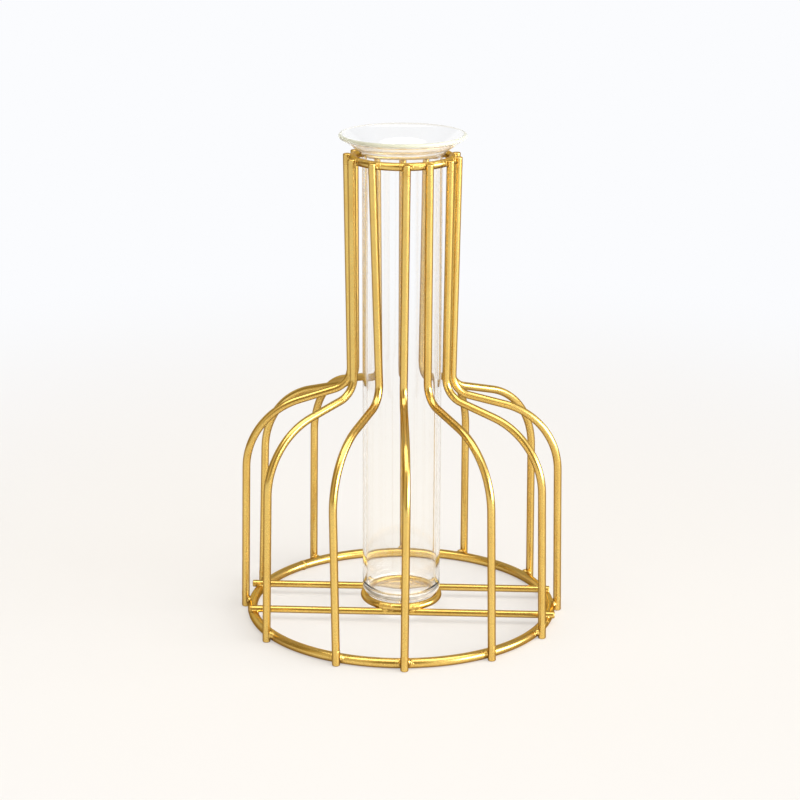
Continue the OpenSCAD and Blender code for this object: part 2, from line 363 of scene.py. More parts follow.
def bead_tree():
    """Tree that puts one melted bead, turned by its own amount, on every joint."""
    graph, values, result = new_modifier_tree("Weld beads", [
        ("Bead", "NodeSocketObject", None),
        ("Spread", "NodeSocketFloat", 0.12),
        ("Seed", "NodeSocketInt", 7),
        ("Material", "NodeSocketMaterial", None),
    ])
    original = {"transform_space": "ORIGINAL"}
    bead = graph.node("GeometryNodeObjectInfo", original, Object=values["Bead"])
    turn = graph.node("GeometryNodeInputNamedAttribute", {"data_type": "FLOAT_VECTOR"}, "turn")
    rotation = graph.node("FunctionNodeEulerToRotation", {}, turn)
    scale = graph.node("FunctionNodeRandomValue", {"data_type": "FLOAT"},
                       Min=1.0 - values["Spread"], Max=1.0, Seed=values["Seed"])
    placed = graph.node("GeometryNodeInstanceOnPoints", {}, values["Geometry"],
                        Instance=bead["Geometry"], Rotation=rotation,
                        Scale=graph.node("ShaderNodeCombineXYZ", {}, scale, scale, scale))
    return finish_tree(graph, values, result, placed)


def tree_once(name, build):
    """The node tree of that name, built if it isn't there yet."""
    return bpy.data.node_groups.get(name) or build()


# Points nearer together than this, in metres, are one point.
SAME_PLACE = 1e-7


def add_object(name, data):
    """An object for that data, at the origin of the scene."""
    added = bpy.data.objects.new(name, data)
    bpy.context.scene.collection.objects.link(added)
    return added


def shaped_mesh(source):
    """The mesh of an object as its modifiers shape it. The object itself goes."""
    source.update_tag()
    bpy.context.view_layer.update()
    evaluated = source.evaluated_get(bpy.context.evaluated_depsgraph_get())
    result = bpy.data.meshes.new_from_object(evaluated)
    bpy.data.objects.remove(source)
    return result


def mesh_of(name, shape, smooth=False):
    """The mesh of a bmesh, which is freed."""
    for face in shape.faces:
        face.smooth = smooth
    mesh = bpy.data.meshes.new(name)
    shape.to_mesh(mesh)
    shape.free()
    return mesh


def shaped_by(tree, name, mesh, inputs):
    """A plain mesh object: the mesh as the tree shapes it with those inputs."""
    source = add_object(name + "_source", mesh)
    modifier = source.modifiers.new(tree.name, "NODES")
    modifier.node_group = tree
    for item in tree.interface.items_tree:
        if item.item_type == "SOCKET" and item.name in inputs:
            modifier[item.identifier] = inputs[item.name]
    return new_piece(name, shaped_mesh(source))


def new_piece(name, mesh, *materials):
    """An object for a finished mesh, at the origin, with its faces outward."""
    mesh.name = name
    for material in materials:
        mesh.materials.append(material)
    shape = bmesh.new()
    shape.from_mesh(mesh)
    bmesh.ops.remove_doubles(shape, verts=shape.verts, dist=SAME_PLACE)
    bmesh.ops.recalc_face_normals(shape, faces=shape.faces)
    shape.to_mesh(mesh)
    shape.free()
    return add_object(name, mesh)


def hand_over(piece, body, nodes):
    """Says which body a piece moves with and which nodes it stands for."""
    if not piece.data.polygons:
        raise RuntimeError(f"{piece.name} came out empty")
    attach(piece, body)
    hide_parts(*nodes)


# -------- the bent wires

# The cage is welded by hand, so each upright strays a little. In degrees, from the front one on and
# anticlockwise seen from above: along the neck ring, about its own top end, and leaning sideways.
TOP_STRAY = (4, -2, -3, -10, -14, 2, 0, 1, 0, -7, -4, -2)
SWING = (-2, 6, 4, 14, 21, 2, -1, 8, 2, 14, 14, 7)
LEAN = (-0.5, 0.5, 0.5, 0, 0.5, 0.5, 0, 0, 1.5, -1.5, -0.5, 1.5)
CROSSBAR_TURN = math.radians(-2.6)
SEAM_ANGLE = math.radians(134)
# A leaning foot's middle stays this far above the floor, so that its edge doesn't cut the floor.
FOOT_LIFT = 0.06 * MM
# The seam stays this far above the floor.
SEAM_LIFT = 0.01 * MM
# Places near a wire's end, in shares of its rounding, where the wire gets a ring of points
END_RINGS = (0.03, 0.12, 0.28, 0.5, 0.75, 1.0)
RING_STEPS_PER_MM = 6


def ring_middle(node, thickness):
    """Radius and height of the middle line of a ring of the model."""
    low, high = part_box(node)
    return (high.x - low.x) / 2 - thickness / 2, (high.z + low.z) / 2


def top_ring_r(cage):
    """Radius of the circle that the uprights' tops stand on."""
    ring_r, _ = ring_middle("neck_ring", cage.neck_ring_d)
    return ring_r + cage.neck_ring_d / 2 + cage.upright_d / 2 - cage.upright_sink


def upright_plane(cage, number):
    """The turn about the axis, the swing and the sideways lean of an upright, and its reach."""
    turn = math.radians(-90 + 30 * number + TOP_STRAY[number])
    swing, lean = math.radians(SWING[number]), math.radians(LEAN[number])
    top_r, side = top_ring_r(cage), cage.top_h * math.sin(lean)
    across = top_r * math.sin(swing)
    outward = math.sqrt(cage.foot_r ** 2 - across ** 2 - side ** 2 + 2 * side * across)
    return turn, swing, lean, outward - top_r * math.cos(swing)


def upright_place(cage, number):
    """Carries a wire that stands in the XZ plane to the place of an upright."""
    turn, swing, lean, _ = upright_plane(cage, number)
    out = Matrix.Translation((top_ring_r(cage), 0, cage.top_h))
    return (Matrix.Rotation(turn, 4, "Z") @ out @ Matrix.Rotation(swing, 4, "Z")
            @ Matrix.Rotation(lean, 4, "X") @ Matrix.Translation((0, 0, -cage.top_h)))


def upright_corners(cage, number):
    """Corners of an upright's middle line in the frame, from its top to its foot."""
    reach = upright_plane(cage, number)[3]
    place = upright_place(cage, number)
    flat = ((0, cage.top_h), (-cage.neck_taper, cage.neck_foot_h),
            (reach - cage.leg_splay, cage.shoulder_h), (reach, 0))
    corners = [place @ Vector((x, 0, z)) for x, z in flat]
    shoulder, foot = corners[2:]
    corners[3] = shoulder + (foot - shoulder) * ((shoulder.z - FOOT_LIFT) / (shoulder.z - foot.z))
    return corners


def chain_mesh(name, corners, bends, rounding):
    """A chain of edges through the corners, with extra points near both ends for their rounding."""
    near = [rounding * part for part in END_RINGS]
    first = (corners[1] - corners[0]).normalized()
    last = (corners[-2] - corners[-1]).normalized()
    points = [corners[0]] + [corners[0] + first * step for step in near] + list(corners[1:-1])
    points += [corners[-1] + last * step for step in reversed(near)] + [corners[-1]]
    straight = [0.0] * (1 + len(near))
    radii = straight + list(bends) + straight
    mesh = bpy.data.meshes.new(name)
    mesh.from_pydata(points, [(i, i + 1) for i in range(len(points) - 1)], [])
    mesh.attributes.new("bend_r", "FLOAT", "POINT").data.foreach_set("value", radii)
    return mesh


def add_wire(name, corners, bends, thickness, cage, material):
    """A wire bent along the corners."""
    mesh = chain_mesh(name, corners, bends, cage.cut_round)
    tree = tree_once("Bent wire", wire_tree)
    return shaped_by(tree, name, mesh, {
        "Thickness": thickness, "Cut rounding": cage.cut_round, "Material": material})


def add_ring(name, node, thickness, material):
    """A closed ring of wire in the place of a ring of the model."""
    radius, height = ring_middle(node, thickness)
    tree = tree_once("Wire ring", ring_tree)
    steps = max(96, int(radius / MM * RING_STEPS_PER_MM))
    return shaped_by(tree, name, bpy.data.meshes.new(name), {
        "Radius": radius, "Height": height, "Thickness": thickness,
        "Steps round": steps, "Material": material})


def crossbar_ends(node, thickness):
    """Both ends of the middle line of a crossbar of the model."""
    low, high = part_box(node)
    tilt = math.tan(CROSSBAR_TURN)
    middle, height = (low.y + high.y) / 2, (low.z + high.z) / 2
    inset = thickness / 2 * abs(math.sin(CROSSBAR_TURN))
    left, right = low.x + inset, high.x - inset
    centre = (left + right) / 2
    return [Vector((x, middle + (x - centre) * tilt, height)) for x in (left, right)]


# -------- finishes


# Lumps a metre in the coating: soft patches, ripples of the lacquer, specks and single flakes
PATCHES, RIPPLES, SPECKS, FLAKES = 90.0, 700.0, 1900.0, 5200.0
# Depth of the coating's relief, and of the soft waves in the blown glass
GOLD_RELIEF, GLASS_RELIEF = 0.00004, 0.0004
GLASS_IOR = 1.47


def surface_facts(graph):
    """How far the surface looks up, from -1 to 1, and 1 where it is hit from its inner side."""
    surface = graph.node("ShaderNodeNewGeometry")
    facing = graph.node("ShaderNodeSeparateXYZ", {}, surface["Normal"])
    return facing["Z"], surface["Backfacing"]


def gold_material(name, finishes, blur, bump, deep):
    """Satin gold flake lacquer on steel.

    Flakes that lie flat mirror the room and askew flakes give a haze. Where the wire turns away
    from the view, a darker gold is
    mixed in: flakes seen edge on look darker, and the mix also paints shade along the wire's edges,
    less of it on top, where the light falls.
    """
    material, graph = new_material(name)
    place = object_place(graph)
    patches = graph.noise(place, PATCHES, 3.0, 0.55).between(0.35, 0.75)
    flakes = graph.noise(place, FLAKES, 2.0, 0.6)
    specks = graph.noise(place, SPECKS, 2.0, 0.5).between(0.60, 0.74)
    ripple = graph.noise(place, RIPPLES, 2.0, 0.5)
    tone = graph.mix(patches * deep, finishes.gold, finishes.gold_deep)
    tone = graph.mix(specks * 0.12, tone, finishes.gold_deep)
    roughness = finishes.gold_rough + blur + (flakes - 0.5) * 0.10 + patches * 0.03 + specks * 0.05
    relief = graph.node("ShaderNodeBump", {}, Strength=bump, Distance=GOLD_RELIEF,
                        Height=flakes * 0.35 + ripple * 0.65)
    flat, askew, edge = (
        graph.node("ShaderNodeBsdfPrincipled", {}, Base_Color=base, Metallic=1.0, Roughness=rough,
                   Specular_Tint=finishes.gold_edge, Normal=relief)
        for base, rough in ((tone, roughness), (tone, finishes.askew_rough),
                            (finishes.gold_painted_edge_shade, finishes.rim_rough)))
    haze = finishes.gold_satin + (flakes - 0.5) * 0.5
    coat = graph.node("ShaderNodeMixShader", {}, haze, flat, askew)
    # Painted shade along the wires' edges: more dark gold where the surface turns away from the
    # view, less on upward faces, where the light falls
    glancing = graph.node("ShaderNodeLayerWeight", {}, 0.5)["Facing"]
    upward, _ = surface_facts(graph)
    turned = glancing.between(0.18, 0.46) * (0.9 - upward.between(0.3, 0.8) * 0.5)
    finish_material(graph, turned, coat, edge)
    return material


def glass_material(name, finishes, base_h, rim_h):
    """Clear blown glass, almost unseen.

    Lip, heel and the flare's underside get a share of a pale, half clear shader that paints light
    in: thick glass gathers light there, and the render's limit on bounces would turn it black. The
    lip's far side gets less of this painted light than its near side.
    """
    material, graph = new_material(name)
    place = object_place(graph)
    parts = graph.node("ShaderNodeSeparateXYZ", {}, place)
    across, deep, height = parts["X"], parts["Y"], parts["Z"]
    radius = (across * across + deep * deep).math("SQRT")
    upward, inside = surface_facts(graph)
    # Masks for the painted light: the lip, the heel, and the flare's underside
    lip = height.between(rim_h - 1.3 * MM, rim_h - 0.9 * MM) * radius.between(17.7 * MM, 18.1 * MM)
    heel_top = base_h + 4.6 * MM - inside * (2.4 * MM)
    heel_full = base_h + 1.6 * MM - inside * (1.0 * MM)
    heel = height.between(heel_top, heel_full) * radius.between(10.95 * MM, 11.6 * MM)
    flare = radius.between(12.4 * MM, 13.4 * MM) * upward.between(0.0, -0.4) * (1.0 - lip)
    stretched = graph.node("ShaderNodeMapping", {}, place, Scale=(1.0, 1.0, 0.12))
    relief = graph.node("ShaderNodeBump", {}, Strength=0.006, Distance=GLASS_RELIEF,
                        Height=graph.noise(stretched, 160.0, 1.0, 0.4))
    clear = graph.node(
        "ShaderNodeBsdfPrincipled", {}, Base_Color=finishes.glass, Roughness=0.0, IOR=GLASS_IOR,
        Transmission_Weight=1.0, Normal=relief)
    # Pale, half clear shader that paints in the light gathered in thick glass
    painted_light_glass = graph.node(
        "ShaderNodeBsdfPrincipled", {}, Base_Color=graph.mix(lip, finishes.heel, finishes.lip),
        Roughness=0.12 + heel * 0.3, IOR=GLASS_IOR, Alpha=0.75, Normal=relief)
    # The painted light on the lip is strongest on the near side, towards -Y, and fades towards the
    # back
    near_side_painted_light = 0.8 - deep.between(-6.0 * MM, 9.0 * MM) * 0.74
    painted_light_share = lip * near_side_painted_light + heel * 0.68 + flare * 0.28
    finish_material(graph, painted_light_share, clear, painted_light_glass)
    return material


def material_once(name, build, *values):
    """The material of that name, built if it isn't there yet."""
    return bpy.data.materials.get(name) or build(name, *values)


# How much more blurred, how bumpy and how deep in colour each gold is
GOLDS = {"wire": (0.0, 0.2, 0.45), "bead": (0.14, 0.45, 0.8)}


def gold_of(context, kind):
    """Finish of the drawn wires, or of the weld beads, where the coating lies thicker."""
    finishes = sizes(context).finishes
    return material_once(f"Satin gold {kind}", gold_material, finishes, *GOLDS[kind])


# -------- weld beads


BEAD_SEED = 11


def rod_between(shape, first, last, radius, sides=20):
    """Adds a closed straight rod to a bmesh."""
    axis = last - first
    turn = axis.to_track_quat("Z", "Y").to_matrix().to_4x4()
    place = Matrix.Translation((first + last) / 2) @ turn
    bmesh.ops.create_cone(shape, cap_ends=True, segments=sides, radius1=radius, radius2=radius,
                          depth=axis.length, matrix=place)


def melted(name, shape, grain, smoothing=14):
    """Melts the rods and lumps of a bmesh into one smooth skin."""
    bmesh.ops.recalc_face_normals(shape, faces=shape.faces)
    source = add_object(name, mesh_of(name, shape))
    skin = source.modifiers.new("Skin", "REMESH")
    skin.mode = "VOXEL"
    skin.voxel_size = grain
    skin.adaptivity = 0.0
    flow = source.modifiers.new("Flow", "SMOOTH")
    flow.factor = 0.5
    flow.iterations = smoothing
    return bpy.data.objects.new(name, shaped_mesh(source))


def joint_points(name, joints):
    """A mesh of loose points, one a joint, each with its own turn."""
    mesh = bpy.data.meshes.new(name)
    mesh.from_pydata([place for place, _ in joints], [], [])
    turns = [value for _, turn in joints for value in turn]
    mesh.attributes.new("turn", "FLOAT_VECTOR", "POINT").data.foreach_set("vector", turns)
    return mesh


def add_beads(name, bead, joints, spread, material):
    """One bead on every joint, as a single piece."""
    tree = tree_once("Weld beads", bead_tree)
    piece = shaped_by(tree, name, joint_points(name, joints), {
        "Bead": bead, "Spread": spread, "Seed": BEAD_SEED, "Material": material})
    bpy.data.objects.remove(bead)
    return piece


X, Y, Z = Vector((1, 0, 0)), Vector((0, 1, 0)), Vector((0, 0, 1))


def bead_of(name, grain, half, rods, lumps):
    """A bead melted from rods and lumps about its joint.

    A rod is its place and way, its reach back and ahead in millimetres, and its radius. A lump is
    its place in millimetres, and its half sizes in shares of half the bead's size.
    """
    shape = bmesh.new()
    for place, way, back, ahead, radius in rods:
        rod_between(shape, place + way * (back * MM), place + way * (ahead * MM), radius)
    for place, shares in lumps:
        size = Matrix.Diagonal((*[half * part for part in shares], 1.0))
        centre = Matrix.Translation(Vector(place) * MM)
        bmesh.ops.create_icosphere(shape, subdivisions=3, radius=1.0, matrix=centre @ size)
    return melted(name, shape, grain)


def groove_rods(cage, ring_d, reach, below, above):
    """An upright and a ring side by side. X points outward and z up."""
    ring_r, post_r, gap = ring_d / 2, cage.upright_d / 2, cage.upright_sink / 2
    return ((X * (gap - ring_r), Y, -reach, reach, ring_r),
            (X * (post_r - gap), Z, -below, above, post_r))


def neck_bead(cage, welds):
    """Bead in the groove between an upright's top and the neck ring."""
    rods = groove_rods(cage, cage.neck_ring_d, 2.2, 2.4, 0.9)
    return bead_of("neck_bead", welds.grain, welds.neck_bead_d / 2, rods, (
        ((0.0, 0.55, -0.45), (0.8, 1.0, 0.9)),
        ((0.0, -0.60, -0.15), (0.7, 0.9, 0.8))))


def foot_bead(cage, welds):
    """Bead in the groove between an upright's foot and the base ring."""
    rods = groove_rods(cage, cage.base_ring_d, 2.8, 0.9, 3.4)
    return bead_of("foot_bead", welds.grain, welds.foot_bead_d / 2, rods, (
        ((-0.15, 0.95, 0.75), (0.85, 0.95, 1.0)),
        ((-0.10, -0.75, 0.55), (0.75, 0.85, 0.8))))


def ring_way(crossing):
    """The way of a ring where it crosses a bar that runs along x."""
    return Vector((-math.sin(crossing), math.cos(crossing), 0))


def bar_bead(cage, welds, crossing):
    """Bead under a crossbar's end. X runs along the bar outward; the ring crosses at an angle."""
    ring_r, bar_r = cage.base_ring_d / 2, cage.crossbar_d / 2
    return bead_of("bar_bead", welds.grain, welds.bar_bead_d / 2, (
        (Z * (cage.bar_sink - ring_r - bar_r), ring_way(crossing), -2.9, 2.9, ring_r),
        (X * 0, X, -2.8, 1.3, bar_r),
    ), (
        ((-0.2, -0.75, -0.85), (1.0, 0.9, 0.75)),
        ((0.1, 0.65, -0.80), (0.9, 0.8, 0.70)),
    ))


def seat_bead(cage, welds, crossing):
    """Bead between the seat ring and a crossbar under it. X runs along the bar outward."""
    seat_r, bar_r = cage.seat_ring_d / 2, cage.crossbar_d / 2
    return bead_of("seat_bead", welds.grain, welds.seat_bead_d / 2, (
        (Z * (bar_r + seat_r - cage.seat_sink), ring_way(crossing), -2.2, 2.2, seat_r),
        (X * 0, X, -2.4, 2.4, bar_r),
    ), (
        ((0.3, 0.50, 0.85), (1.0, 0.85, 0.7)),
        ((-0.2, -0.55, 0.80), (0.9, 0.75, 0.6)),
    ))


# -------- the glass tube


def arc_points(centre, radius, first, last, steps):
    """Points of an arc in the plane of radius and height, from one angle to another, in radians."""
    turns = [first + (last - first) * i / steps for i in range(steps + 1)]
    return [(centre[0] + radius * math.cos(t), centre[1] + radius * math.sin(t)) for t in turns]


FLOOR_STEPS, HEEL_STEPS, WALL_STEPS, BEND_STEPS = 12, 18, 40, 20
# The lip's arc stops this far short of the wall's faces, in radians, and runs over into them.
LIP_EASE = 0.15


def floor_points(reach, height, dimple):
    """Points of a floor with a dimple, from the axis outward."""
    shares = [i / FLOOR_STEPS for i in range(FLOOR_STEPS)]
    return [(reach * part, height + dimple * (1 - part ** 2) ** 2) for part in shares]


def tube_profile(glass):
    """Outline of the glass from the middle of its underside, over the lip, to the floor inside."""
    low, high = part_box("glass_tube")
    wide, base, rim = high.x, low.z, high.z
    outer, bore, wall = glass.tube_d / 2, glass.tube_d / 2 - glass.wall, glass.wall
    slope = glass.flare_slope
    lip_r = (wall + glass.lip_swell) / 2
    lip = (wide - lip_r, rim - lip_r)
    middle_r = glass.flare_r + wall / 2
    centre_x = outer + glass.flare_r
    cone = (lip[0] - centre_x + middle_r * math.sin(slope)) / math.cos(slope)
    centre_h = lip[1] - cone * math.sin(slope) - middle_r * math.cos(slope)
    flat = outer - glass.heel_r
    inner_heel = glass.heel_r - wall + glass.heel_fill
    half_pi = math.pi / 2
    across = (math.sin(slope), -math.cos(slope))
    join = lip[0] - math.cos(slope) * glass.lip_run, lip[1] - math.sin(slope) * glass.lip_run
    inside = base + glass.floor + inner_heel
    walls = [i / WALL_STEPS for i in range(1, WALL_STEPS)]

    points = floor_points(flat, base, glass.dimple)
    points += arc_points((flat, base + glass.heel_r), glass.heel_r, -half_pi, 0, HEEL_STEPS)
    rise = base + glass.heel_r
    points += [(outer, rise + (centre_h - rise) * part) for part in walls]
    bend, bend_end = (centre_x, centre_h), half_pi + slope
    points += arc_points(bend, glass.flare_r, math.pi, bend_end, BEND_STEPS)
    points.append((join[0] + across[0] * wall / 2, join[1] + across[1] * wall / 2))
    ease = half_pi - LIP_EASE
    points += arc_points(lip, lip_r, slope - ease, slope + ease, BEND_STEPS)
    points.append((join[0] - across[0] * wall / 2, join[1] - across[1] * wall / 2))
    points += arc_points(bend, glass.flare_r + wall, bend_end, math.pi, BEND_STEPS)
    points += [(bore, centre_h - (centre_h - inside) * part) for part in walls]
    points += arc_points((bore - inner_heel, inside), inner_heel, 0, -half_pi, HEEL_STEPS)
    points += reversed(floor_points(bore - inner_heel, base + glass.floor, glass.dimple))
    return points


def skin_rings(shape, rings, steps):
    """Adds the faces between rings of points. A ring of one point is a pole."""
    for below, above in zip(rings, rings[1:]):
        for i in range(steps):
            corners = [below[i % len(below)], below[(i + 1) % len(below)],
                       above[(i + 1) % len(above)], above[i % len(above)]]
            shape.faces.new([v for n, v in enumerate(corners) if v not in corners[:n]])


def turned_mesh(name, profile, steps=160):
    """Turns an outline that starts and ends on the axis round the axis, and closes both poles."""
    shape = bmesh.new()
    turns = [2 * math.pi * i / steps for i in range(steps)]
    rings = []
    for radius, height in profile:
        places = [(0, 0, height)]
        if radius > SAME_PLACE:
            places = [(radius * math.cos(t), radius * math.sin(t), height) for t in turns]
        rings.append([shape.verts.new(place) for place in places])
    skin_rings(shape, rings, steps)
    bmesh.ops.recalc_face_normals(shape, faces=shape.faces)
    return mesh_of(name, shape, smooth=True)


# -------- operators


class VASE_OT_uprights(bpy.types.Operator):
    """Bends the twelve uprights of the cage"""

    bl_idname = "vase.uprights"
    bl_label = "Bend the uprights"

    def execute(self, context):
        cage = sizes(context).cage
        for number in range(len(SWING)):
            node = f"upright_{number + 1:02d}"
            corners = upright_corners(cage, number)
            piece = add_wire(f"wire_{node}", corners, (cage.neck_bend_r, cage.shoulder_bend_r),
                             cage.upright_d, cage, gold_of(context, "wire"))
            hand_over(piece, "cage", [node])
        return {"FINISHED"}


class VASE_OT_rings(bpy.types.Operator):
    """Rolls the base ring, the neck ring and the seat ring"""

    bl_idname = "vase.rings"
    bl_label = "Roll the rings"

    def execute(self, context):
        cage = sizes(context).cage
        for node, thickness in (
                ("base_ring", cage.base_ring_d),
                ("neck_ring", cage.neck_ring_d),
                ("seat_ring", cage.seat_ring_d)):
            piece = add_ring(f"wire_{node}", node, thickness, gold_of(context, "wire"))
            hand_over(piece, "cage", [node])
        return {"FINISHED"}


class VASE_OT_crossbars(bpy.types.Operator):
    """Cuts the two crossbars that carry the seat ring"""

    bl_idname = "vase.crossbars"
    bl_label = "Cut the crossbars"

    def execute(self, context):
        cage = sizes(context).cage
        for node in ("crossbar_front", "crossbar_rear"):
            ends = crossbar_ends(node, cage.crossbar_d)
            piece = add_wire(f"wire_{node}", ends, (), cage.crossbar_d, cage,
                             gold_of(context, "wire"))
            hand_over(piece, "cage", [node])
        return {"FINISHED"}


class VASE_OT_welds(bpy.types.Operator):
    """Melts the weld beads onto the joints of the cage"""

    bl_idname = "vase.welds"
    bl_label = "Melt the weld beads"

    def execute(self, context):
        cage, welds = sizes(context).cage, sizes(context).welds
        gold = gold_of(context, "bead")
        neck_r, neck_h = ring_middle("neck_ring", cage.neck_ring_d)
        base_r, base_h = ring_middle("base_ring", cage.base_ring_d)
        seat_r, _ = ring_middle("seat_ring", cage.seat_ring_d)
        neck_joints, foot_joints = [], []
        neck_skin = neck_r + cage.neck_ring_d / 2 - cage.upright_sink / 2
        base_skin = base_r + cage.base_ring_d / 2 - cage.upright_sink / 2
        for number in range(len(SWING)):
            foot = upright_corners(cage, number)[3]
            neck_joints.append(ring_joint(upright_plane(cage, number)[0], neck_skin, neck_h))
            foot_joints.append(ring_joint(math.atan2(foot.y, foot.x), base_skin, base_h))
        piece = add_beads("beads_neck", neck_bead(cage, welds), neck_joints, welds.spread, gold)
        hand_over(piece, "cage", ["neck_welds"])
        piece = add_beads("beads_feet", foot_bead(cage, welds), foot_joints, welds.spread, gold)
        hand_over(piece, "cage", ["foot_welds"])

        bar_low, bar_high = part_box("crossbar_front")
        bar_h = (bar_low.z + bar_high.z) / 2
        ends = crossbar_ends("crossbar_front", cage.crossbar_d)
        along = (ends[1] - ends[0]).normalized()
        bar_y = abs((ends[0] - along * ends[0].dot(along)).y) / math.cos(CROSSBAR_TURN)
        for name, kind, radius, nodes in (
                ("beads_crossbars", bar_bead, base_r, ["crossbar_welds"]),
                ("beads_seat", seat_bead, seat_r, ["seat_welds"])):
            reach = math.sqrt(radius ** 2 - bar_y ** 2)
            crossing = math.atan2(bar_y, reach)
            made = []
            for sign in (1, -1):
                joints = []
                for end in (-1, 1):
                    turn = CROSSBAR_TURN + (0 if end > 0 else math.pi)
                    place = Vector((end * reach, sign * end * bar_y, bar_h))
                    joints.append((Matrix.Rotation(CROSSBAR_TURN, 3, "Z") @ place, (0, 0, turn)))
                bead = kind(cage, welds, sign * crossing)
                made.append(add_beads(f"{name}_{sign}", bead, joints, welds.spread, gold))
            piece = joined(name, made, gold)
            hand_over(piece, "cage", nodes)
        piece = seam_piece("bead_seam", cage, welds, base_r, base_h, gold)
        hand_over(piece, "cage", ["ring_seam"])
        return {"FINISHED"}


def ring_joint(turn, radius, height):
    """A joint at that turn about the axis: its place, and the turn that its bead gets."""
    way = Vector((math.cos(turn), math.sin(turn), 0))
    return way * radius + Z * height, (0, 0, turn)


def joined(name, objects, material):
    """Joins finished objects into one piece of that material."""
    shape = bmesh.new()
    for part in objects:
        shape.from_mesh(part.data)
        bpy.data.objects.remove(part)
    for face in shape.faces:
        face.material_index = 0
    return new_piece(name, mesh_of(name, shape, smooth=True), material)


def seam_piece(name, cage, welds, ring_r, ring_h, material):
    """Collar that the butt weld left round the base ring: a thin, slightly uneven swollen band."""
    shape = bmesh.new()
    steps, sides = 12, 32
    place = Matrix.Rotation(SEAM_ANGLE, 4, "Z") @ Matrix.Translation((ring_r, 0, ring_h))
    lowest = SEAM_LIFT - ring_h
    rings = []
    for part in (i / steps - 0.5 for i in range(steps + 1)):
        swell = math.cos(part * math.pi) ** 0.7 * welds.seam_proud - welds.seam_sink
        ring = []
        for turn in (2 * math.pi * k / sides for k in range(sides)):
            radius = cage.base_ring_d / 2 + swell * (1 + 0.35 * math.sin(3 * turn + 1.1))
            low = max(radius * math.sin(turn), lowest)
            corner = Vector((radius * math.cos(turn), part * welds.seam_w, low))
            ring.append(shape.verts.new(place @ corner))
        rings.append(ring)
    skin_rings(shape, rings, sides)
    shape.faces.new(rings[0])
    shape.faces.new(list(reversed(rings[-1])))
    return new_piece(name, mesh_of(name, shape, smooth=True), material)


class VASE_OT_glass(bpy.types.Operator):
    """Blows the glass tube with its flared mouth"""

    bl_idname = "vase.glass"
    bl_label = "Blow the glass tube"

    def execute(self, context):
        low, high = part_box("glass_tube")
        clear = material_once("Clear glass", glass_material, sizes(context).finishes, low.z, high.z)
        mesh = turned_mesh("blown_tube", tube_profile(sizes(context).glass))
        piece = new_piece("blown_tube", mesh, clear)
        # Its full shadow would turn the floor under it dark grey, which clear glass doesn't do.
        piece.visible_shadow = False
        hand_over(piece, "glass", ["glass_tube"])
        return {"FINISHED"}


# -------- stage

CAMERA_PLACE = (0.0, -0.650, 0.2635)
CAMERA_DOWN = math.radians(16.73)
CAMERA_YAW = math.radians(-0.05)
CAMERA_ROLL = math.radians(-0.20)
SENSOR_WIDTH = 36.0
# The softbox hangs in front of the vase and faces straight down.
SOFTBOX_PLACE, SOFTBOX_SIZE = (0.0, -0.21, 0.78), (0.95, 0.56)
SOFTBOX_TINT = (1.0, 0.985, 0.96)
FLOOR_HALF = 6.0
# The floor's glow near the vase, tinted warm as painted light bounced off the gold, and far off,
# and the distances between which one becomes the other
FLOOR_NEAR_WARM_BOUNCE, FLOOR_FAR, FLOOR_FADE = (0.940, 0.922, 0.910), (0.965, 0.972, 0.992), (0.06, 0.45)
# Tint of the room where it is lit and where it is dim, and how white it looks through the glass
ROOM_LIT, ROOM_DIM, ROOM_THROUGH_GLASS = (1.0, 0.995, 0.985), (1.0, 0.76, 0.32), 0.8


def add_camera(lens):
    """Camera in front of the vase, a little above it."""
    data = bpy.data.cameras.new("Camera")
    data.sensor_width = SENSOR_WIDTH
    data.lens = lens
    data.clip_start = 0.01
    camera = add_object("Camera", data)
    tilt = Matrix.Rotation(math.pi / 2 - CAMERA_DOWN, 4, "X")
    turn = Matrix.Rotation(-CAMERA_YAW, 4, "Z") @ tilt @ Matrix.Rotation(-CAMERA_ROLL, 4, "Z")
    camera.matrix_world = Matrix.Translation(CAMERA_PLACE) @ turn
    bpy.context.scene.camera = camera


def add_softbox(watts):
    """The soft rectangular lamp over the vase."""
    data = bpy.data.lights.new("softbox", "AREA")
    data.shape = "RECTANGLE"
    data.size, data.size_y = SOFTBOX_SIZE
    data.energy = watts
    data.color = SOFTBOX_TINT
    lamp = add_object("softbox", data)
    lamp.location = SOFTBOX_PLACE
    lamp.visible_camera = False


def floor_material(name, floor_colour, shadow):
    """Pale floor that takes the vase's shadow, and goes over into plain white further out."""
    material, graph = new_material(name)
    away = graph.node("ShaderNodeVectorMath", {"operation": "LENGTH"}, object_place(graph))
    far = away["Value"].between(*FLOOR_FADE)
    rays = graph.node("ShaderNodeLightPath")
    glossy = rays["Is Glossy Ray"]
    seen = rays["Is Camera Ray"].math("MAXIMUM", glossy)
    seen = seen.math("MAXIMUM", rays["Is Transmission Ray"])
    matt = graph.node("ShaderNodeBsdfDiffuse", {}, floor_colour)
    # Near the vase the glow is warm: painted light bounced off the gold cage
    glow = graph.node("ShaderNodeEmission", {}, graph.mix(far, FLOOR_NEAR_WARM_BOUNCE, FLOOR_FAR), 1.0)
    kept = shadow + glossy * (1.0 - shadow) * 0.5
    lit = (far * kept + (1.0 - kept)) * seen
    finish_material(graph, lit, matt, glow)
    return material


